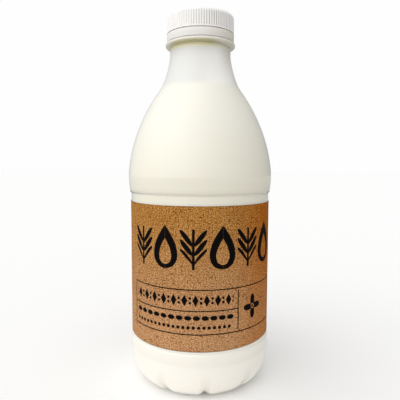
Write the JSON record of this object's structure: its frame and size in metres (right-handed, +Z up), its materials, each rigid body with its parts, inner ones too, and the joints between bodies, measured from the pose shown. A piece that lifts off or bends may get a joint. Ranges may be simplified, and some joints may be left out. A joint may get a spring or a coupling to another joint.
{
  "type": "milk bottle",
  "caption": "Full round clear plastic milk bottle with a domed shoulder, ribbed screw cap with tamper band and a wrap-around kraft paper label.",
  "frame": {"origin": "middle of the base, on the plane that the bottle stands on", "axes": "+Z up along the bottle's axis, -Y towards the front of the label, +X to the right seen from the front"},
  "size_m": [0.088, 0.0882, 0.2224],
  "materials": {
    "clear_plastic": "gloss",
    "milk": "satin",
    "white_plastic": "satin",
    "kraft_paper": "matte"
  },
  "bodies": {
    "root": {"bottle": "clear_plastic", "milk": "milk", "cap": "white_plastic", "label": "kraft_paper"}
  },
  "joints": []
}
